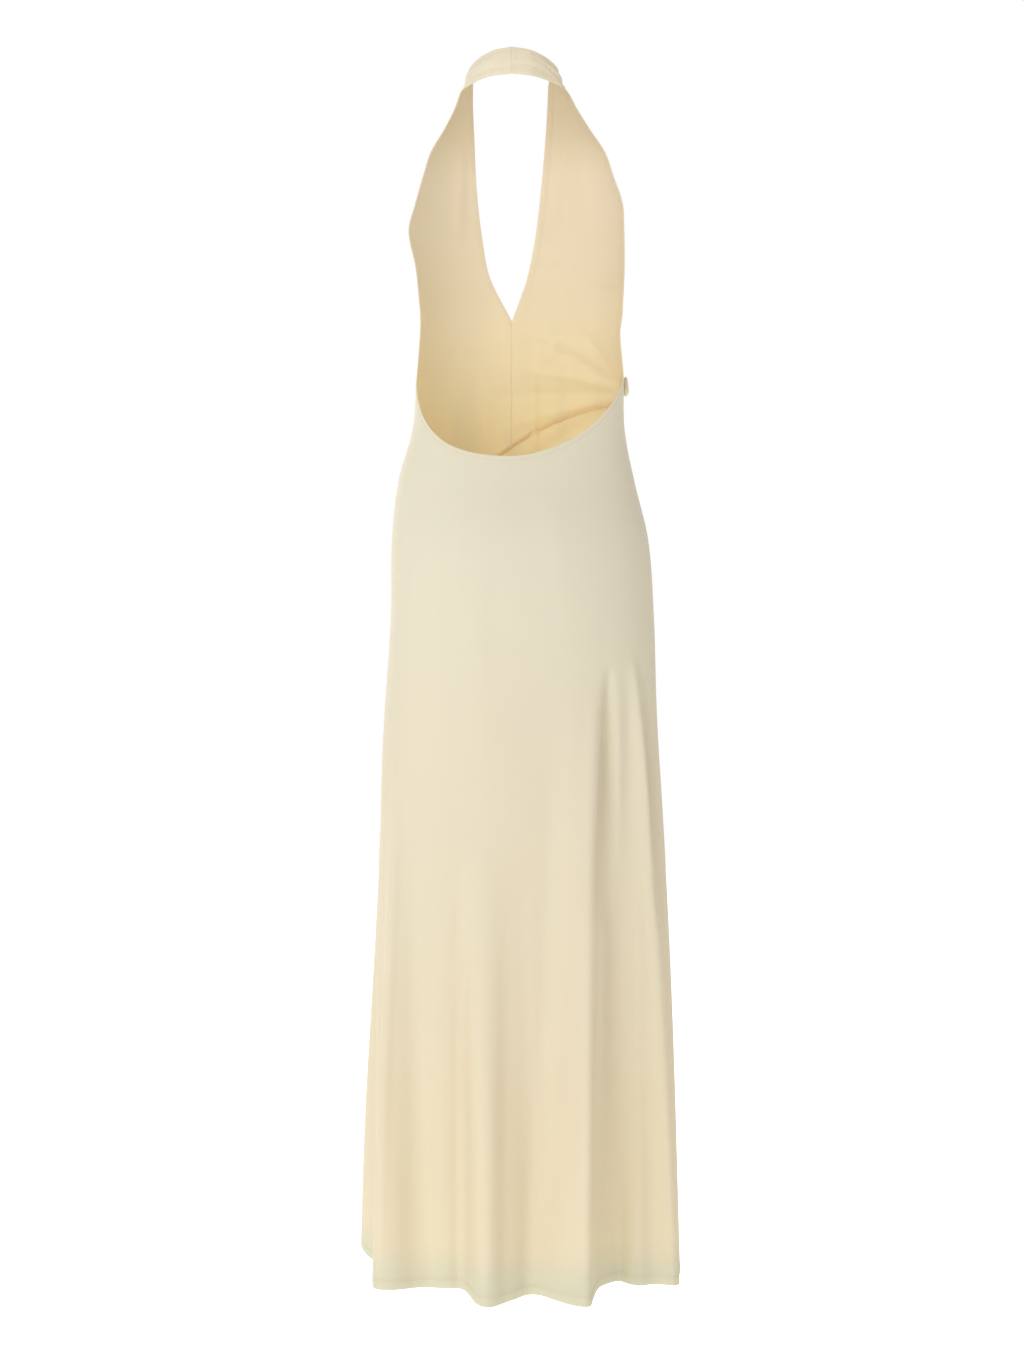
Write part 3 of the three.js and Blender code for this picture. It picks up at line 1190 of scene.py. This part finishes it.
@dataclass
class StitchRows:
    """Straight machine stitches along the turned edges of one panel."""

    name: str
    paths: tuple[np.ndarray, ...]
    material: bpy.types.Material
    pitch: float = 3.3
    length: float = 2.7
    radius: float = 0.3
    sides: int = 6
    straight_share: float = 0.64
    tip_sink: float = 0.8
    rise: float = 0.085
    look_ahead: float = 1.0

    def template(self) -> tuple[np.ndarray, list[list[int]]]:
        """One stitch along X that stands up along Z.

        Returns:
            Its points, in millimetres, and its faces.
        """
        sides, reach, sunk = self.sides, self.length / 2, -self.tip_sink * self.radius
        angles = np.arange(sides) * 2 * math.pi / sides
        ring = np.stack([np.zeros(sides), np.cos(angles), np.sin(angles)], axis=1) * self.radius
        shift = np.array([self.straight_share * reach, 0, 0])
        tips = np.array([[-reach, 0, sunk], [reach, 0, sunk]])
        faces = []
        for side in range(sides):
            after = (side + 1) % sides
            faces.append([after, after + sides, side + sides, side])
            faces.append([after, side, 2 * sides])
            faces.append([side + sides, after + sides, 2 * sides + 1])
        return np.concatenate([ring - shift, ring + shift, tips]), faces

    def frames(self, path: np.ndarray) -> list[tuple[np.ndarray, np.ndarray]]:
        """Places of the stitches along one line.

        Args:
            path: Points and normals of the line.

        Returns:
            Each stitch's middle and its three axes.
        """
        steps = np.linalg.norm(np.diff(path[:, :3], axis=0), axis=1)
        run = np.concatenate([[0.0], np.cumsum(steps)])
        centres = np.arange(self.pitch / 2, run[-1], self.pitch)
        behind, spots, ahead = (
            np.stack([np.interp(centres + shift, run, path[:, part]) for part in range(6)], axis=1)
            for shift in (-self.look_ahead, 0.0, self.look_ahead)
        )
        along = unit(ahead[:, :3] - behind[:, :3])
        aside = unit(np.cross(unit(spots[:, 3:]), along))
        up = np.cross(along, aside)
        return list(zip(spots[:, :3] + up * self.rise, np.stack([along, aside, up], axis=1)))

    def make(self) -> bpy.types.Object:
        """Build all the stitches as one mesh.

        Returns:
            The stitches' object.
        """
        shape, shape_faces = self.template()
        points, faces = [], []
        for path in self.paths:
            for spot, axes in self.frames(path):
                first = len(points) * len(shape)
                points.append(spot + shape @ axes)
                faces.extend([[first + corner for corner in face] for face in shape_faces])
        made = make_object(self.name, np.concatenate(points), faces, [self.material])
        dress(made)
        LOG.info("%s: %d stitches", made.name, len(points))
        return made


@dataclass
class WaistSeamAllowance:
    """Narrow overlocked seam allowance that lies down on the inside below the slanting waist seam."""

    form: DressForm
    finishes: Finishes
    name: str = "waist_seam_allowance"
    cut: Pair = (0.42, 0.012)
    width: float = 4.6
    above: float = 0.6
    thickness: float = 0.6
    clearance: float = 1.1
    crown: float = 0.5
    waves: tuple[Pair, ...] = ((0.5, 41.0), (0.35, 97.0))
    columns: int = 260
    rows: int = 8
    margin: float = 0.03

    def make(self) -> bpy.types.Object:
        """Build the strip of doubled cloth along the seam.

        Returns:
            The strip's object.
        """
        turns = np.linspace(QUARTER + self.margin, 3 * QUARTER - self.margin, self.columns)
        downs = np.linspace(-self.above, self.width, self.rows)[:, None]
        wave = sum(height * np.sin(turns * count) for height, count in self.waves)
        heights = self.form.waist_seam_at(turns) - (downs + wave * (downs / self.width))
        base = self.form.point(np.broadcast_to(turns, heights.shape), heights)
        normals = grid_normals(base)
        lift = self.clearance + self.crown * np.sin(np.pi * (downs / self.width).clip(0, 1))
        outer = base - normals * lift[..., None]
        inner = outer - normals * self.thickness
        shell = Shell(self.name, outer, inner, arc_lengths(base, 1), arc_lengths(base, 0))
        made = shell.make(self.finishes.inside, self.finishes.inside)
        dress(made)
        return made


@dataclass
class SideGather:
    """Small gathered knot of the front's cloth at the right side of the waist."""

    form: DressForm
    finishes: Finishes
    name: str = "side_gather_cloth"
    node: str = "side_gather"
    cut: Pair = (0.036, 0.028)
    turn: float = 261.0
    height: float = -364.5
    half_height: float = 11.5
    half_length: float = 13.0
    thickness: float = 8.0
    gathers: int = 8
    depth: float = 0.14
    fold_power: float = 1.5
    fold_drift: float = 0.8
    twist: float = 0.5
    pinch: float = 0.16
    pinch_reach: float = 0.35
    foot: float = 0.25
    sides: int = 144
    rings: int = 60
    gap: float = 0.3

    def make(self) -> bpy.types.Object:
        """Build the knot as a closed lobe, drawn in at its middle.

        Returns:
            The knot's object.
        """
        seat = self.form.point(np.array([math.radians(self.turn)]), np.array([self.height]))[0]
        angles = np.arange(self.sides) * 2 * math.pi / self.sides
        lifts = (np.arange(1, self.rings) / self.rings - 0.5)[:, None] * math.pi
        twisted = angles + self.twist * np.sin(lifts)
        folds = 0.5 + 0.5 * np.cos(self.gathers * twisted + self.fold_drift * np.sin(2 * twisted))
        pinched = 1 - self.pinch * bell(lifts, 0.0, self.pinch_reach)
        size = (1 - self.depth * folds**self.fold_power) * pinched * np.cos(lifts)
        x = self.thickness / 2 * (np.cos(angles) * size * (1 - self.foot * np.sin(lifts)) - 1)
        y = self.half_length * np.sin(angles) * size
        z = self.half_height * np.broadcast_to(np.sin(lifts), size.shape)
        grid = np.stack([x, y, z], axis=-1).reshape(-1, 3)
        poles = [[-self.thickness / 2, 0, end * self.half_height] for end in (-1, 1)]
        points = np.concatenate([grid, poles]) + seat + np.array([-self.gap, 0, 0])
        # Its material's darker colour is painted shade in the gathers.
        made = make_object(self.name, points, self.faces(len(grid)), [self.finishes.gathered])
        dress(made, self.node)
        return made

    def faces(self, poles: int) -> list[list[int]]:
        """Faces of the lobe, with a fan at each end.

        Args:
            poles: Number of the first pole's vertex.

        Returns:
            The faces, facing out.
        """
        made = []
        last = (self.rings - 2) * self.sides
        for side in range(self.sides):
            after = (side + 1) % self.sides
            for ring in range(0, last, self.sides):
                made.append([ring + side, ring + after, ring + self.sides + after, ring + self.sides + side])
            made.append([poles, after, side])
            made.append([poles + 1, last + side, last + after])
        return made


@dataclass(frozen=True)
class SoftLight:
    """Square light, with the width of its sides and its power in watts."""

    name: str
    place: tuple[float, float, float]
    width: float
    power: float

    def make(self, aim: Vector) -> None:
        """Make the light, facing a place.

        Args:
            aim: The place that it faces.
        """
        data = bpy.data.lights.new(self.name, "AREA")
        data.size = self.width
        data.energy = self.power
        light = bpy.data.objects.new(self.name, data)
        light.location = self.place
        light.rotation_euler = (aim - Vector(self.place)).to_track_quat("-Z", "Y").to_euler()
        bpy.context.scene.collection.objects.link(light)


@dataclass
class Studio:
    """Pale floor, soft light and the camera behind the dress."""

    camera_distance: float = 3.325
    camera_height: float = -0.711
    focal_pixels: float = 2918.0
    frame_pixels: tuple[int, int] = (1024, 1365)
    sensor: float = 36.0
    floor_height: float = -1.49
    floor_radius: float = 9.0
    floor_sides: int = 96
    floor_colour: Colour = (0.5, 0.5, 0.5)
    floor_roughness: float = 0.9
    floor_strength: float = 0.68
    white: Colour = (1.0, 1.0, 1.0)
    world_strength: float = 0.66
    middle: tuple[float, float, float] = (0.0, -0.075, -0.75)
    lights: tuple[SoftLight, ...] = (
        SoftLight("key", (2.2, 3.2, 0.4), 2.2, 64.0),
        SoftLight("front_fill", (1.5, -3.3, 0.5), 2.6, 80.0),
    )

    def make(self) -> None:
        """Build the camera, the floor and the lights."""
        self.make_camera()
        self.make_floor()
        self.make_world()
        for light in self.lights:
            light.make(Vector(self.middle))
        bpy.context.scene.view_settings.view_transform = "Standard"
        LOG.info("studio: camera %.2f m behind the dress, %d lights", self.camera_distance, len(self.lights))

    def make_camera(self) -> None:
        """Level camera behind the dress, at the photograph's viewing angle."""
        data = bpy.data.cameras.new("camera")
        data.sensor_width = self.sensor
        data.lens = self.focal_pixels / max(self.frame_pixels) * self.sensor
        camera = bpy.data.objects.new("camera", data)
        camera.location = (0.0, self.camera_distance, self.camera_height)
        camera.rotation_euler = (QUARTER, 0.0, math.pi)
        bpy.context.scene.collection.objects.link(camera)
        bpy.context.scene.camera = camera

    def make_floor(self) -> None:
        """Round white floor."""
        angles = np.arange(self.floor_sides) * 2 * math.pi / self.floor_sides
        ring = np.stack([np.cos(angles), np.sin(angles), np.zeros(self.floor_sides)], axis=1)
        points = (ring * self.floor_radius + np.array([0, 0, self.floor_height])) / MM
        material = bpy.data.materials.new("white_floor")
        kit = NodeKit(material)
        kit.fill(kit.nodes["Principled BSDF"], {
            "Base Color": opaque(self.floor_colour),
            "Roughness": self.floor_roughness,
            "Emission Color": opaque(self.white),
            "Emission Strength": self.seen_strength(kit, self.floor_strength),
        })
        make_object("floor", points, [list(range(self.floor_sides))], [material])

    def make_world(self) -> None:
        """White surroundings that light the dress a little more softly than they look."""
        world = bpy.data.worlds.new("studio_white")
        kit = NodeKit(world)
        strength = self.seen_strength(kit, self.world_strength)
        kit.fill(kit.nodes["Background"], {"Color": opaque(self.white), "Strength": strength})
        bpy.context.scene.world = world

    @staticmethod
    def seen_strength(kit: NodeKit, unseen: float) -> Socket:
        """Strength of a white surface: 1 where it is seen directly, and less as a source of light.

        Args:
            kit: Kit of the material or world.
            unseen: Strength as a source of light.

        Returns:
            The strength's output socket.
        """
        seen = kit.add("LightPath", {}).outputs["Is Camera Ray"]
        return kit.add("MapRange", {"Value": seen, "To Min": unseen, "To Max": 1.0}).outputs["Result"]


BACK_CREASES = table(
    Crease, "start end width depth bow",
    ((82, -940), (76, BELOW_HEM), 13, 2.6),
    ((60, -900), (55, BELOW_HEM), 8, -3.4),
    ((9, -980), (9, BELOW_HEM), 6, -1.6),
    ((-34, -1080), (-38, BELOW_HEM), 8, -0.8),
    ((118, -880), (112, BELOW_HEM), 11, -2.0),
    ((-111, -694), (-105, -990), 7, -12.5),
    ((-94, -712), (-87, -940), 8, 2.4),
    ((-122, -704), (-120, -940), 8, 3.0),
    ((-101, -860), (-97, BELOW_HEM), 6, -4.5),
    ((-88, -860), (-84, BELOW_HEM), 5, 2.5),
    ((-138, -680), (-160, -990), 6.5, 8.5),
    ((-144, -690), (-186, BELOW_HEM), 8, 6.5, 4),
    ((-149, -684), (-172, -1000), 6, -10.0),
    ((-158, -800), (-199, BELOW_HEM), 6, -5.0, 4),
    ((-130, -960), (-136, BELOW_HEM), 12, 5.5),
    ((129, -770), (158, BELOW_HEM), 6.5, 5.5),
    ((140, -760), (170, BELOW_HEM), 6, -9.0),
    ((50, -470), (72, -640), 15, 1.3),
    ((-40, -480), (-66, -640), 16, 1.2),
    ((20, -560), (16, -760), 14, -1.3),
    ((-60, -640), (40, -664), 16, -1.4, 10),
)

FRONT_CREASES = table(
    Crease, "start end width depth bow",
    ((-126, -362), (-8, -300), 7, 2.6, -8),
    ((-126, -366), (6, -338), 6, -2.4, -7),
    ((-126, -370), (28, -372), 7, 2.6, -6),
    ((-126, -374), (20, -412), 6, -2.2, -5),
    ((-124, -358), (-50, -262), 7, 2.2, -6),
    ((-62, -286), (-30, -336), 7, -2.8, 3),
    ((-28, -318), (-27, -470), 4.0, -3.2),
    ((-18, -300), (-19, -345), 4, 1.2),
    ((-46, -262), (-62, -300), 9, 2.0),
    ((-124, -382), (36, -500), 8, 2.8, -9),
    ((-124, -386), (-10, -560), 7, -2.6, -8),
    ((-124, -390), (-44, -600), 8, 2.8, -8),
    ((-120, -396), (-86, -640), 7, -2.2, -6),
    ((-66, -70), (-62, -190), 6, 1.6),
    ((-82, -80), (-90, -180), 7, -1.4),
    ((60, -76), (66, -190), 6, -1.4),
    ((50, -80), (54, -200), 6, 1.2),
    ((118, -186), (50, -176), 7, -2.2, 4),
    ((-24, -196), (-80, -210), 9, -1.6),
    ((-128, -238), (-96, -222), 2.6, 1.5),
    ((-128, -244), (-94, -231), 2.4, -1.5),
    ((-128, -250), (-98, -240), 2.6, 1.4),
    ((30, -330), (34, -452), 10, -1.6),
    ((66, -300), (74, -440), 10, 1.5),
    ((8, -340), (2, -430), 8, 1.4),
    ((60, -760), (66, BELOW_HEM), 12, -3.0),
    ((-50, -820), (-56, BELOW_HEM), 11, 3.0),
    ((-104, -800), (-112, BELOW_HEM), 10, -3.0),
    ((104, -780), (112, BELOW_HEM), 11, 3.0),
)

STRAP_CREASES_LEFT = table(
    Crease, "start end width depth bow",
    ((-8, 23), (64, 18), 3.0, -0.7, -1.0),
    ((16, 12), (88, 8), 4.0, 0.9),
    ((54, 13), (116, 20), 3.0, -1.0),
)

STRAP_CREASES_RIGHT = table(
    Crease, "start end width depth bow",
    ((-8, 23), (52, 18), 3.0, -0.7, 1.0),
    ((34, 7), (100, 13), 2.4, 1.1),
    ((42, 11), (92, 17), 1.8, -1.2),
    ((46, 15), (104, 23), 1.9, 1.2),
    ((40, 3), (110, 6), 2.6, -1.0),
)


def make_panels(form: DressForm, finishes: Finishes) -> list[ClothPanel]:
    """The four panels of the dress, ready to be built.

    Args:
        form: The dress form that they are cut on.
        finishes: The materials.

    Returns:
        The panels, from the neck down.
    """
    hem = EdgeFinish(Edge.TURNED, turn_width=12.5, stitch_rows=(9.2, 11.4))
    turned = EdgeFinish(Edge.TURNED)
    seam = EdgeFinish(Edge.SEAM)
    gap = form.gap_turn()
    shared = {"form": form, "finishes": finishes}
    bodice = shared | {"top": seam, "bottom": seam, "start": turned, "end": turned, "creases": FRONT_CREASES}
    skirt = shared | {"bottom": hem, "start": seam, "end": seam}
    return [
        FrontPanel(
            name="front_left_cloth", node="front_left", side=Side.LEFT, flip=-1, cut=(0.17, 0.66),
            strap_creases=STRAP_CREASES_LEFT, **bodice,
        ),
        FrontPanel(
            name="front_right_cloth", node="front_right", side=Side.RIGHT, cut=(0.17, 0.58),
            strap_creases=STRAP_CREASES_RIGHT, **bodice,
        ),
        FrontSkirt(
            name="front_skirt_cloth", node="front_skirt", cut=(0.72, 1.04), top=seam, creases=FRONT_CREASES,
            from_turn=QUARTER + gap, to_turn=3 * QUARTER - gap, **skirt,
        ),
        BackSkirt(
            name="back_skirt_cloth", node="back_skirt", cut=(0.66, 1.06), top=turned, creases=BACK_CREASES,
            from_turn=-QUARTER + gap, to_turn=QUARTER - gap, **skirt,
        ),
    ]


def main() -> None:
    """Build every piece of the dress and its studio."""
    logging.basicConfig(level=logging.INFO, format="%(name)s %(message)s")
    form = DressForm()
    finishes = Finishes.make()
    for panel in make_panels(form, finishes):
        cloth = panel.make()
        stitches = StitchRows(f"{panel.node}_stitches", panel.stitch_paths, finishes.thread).make()
    WaistSeamAllowance(form, finishes).make()
    SideGather(form, finishes).make()
    Studio().make()


if __name__ == "__main__":
    main()
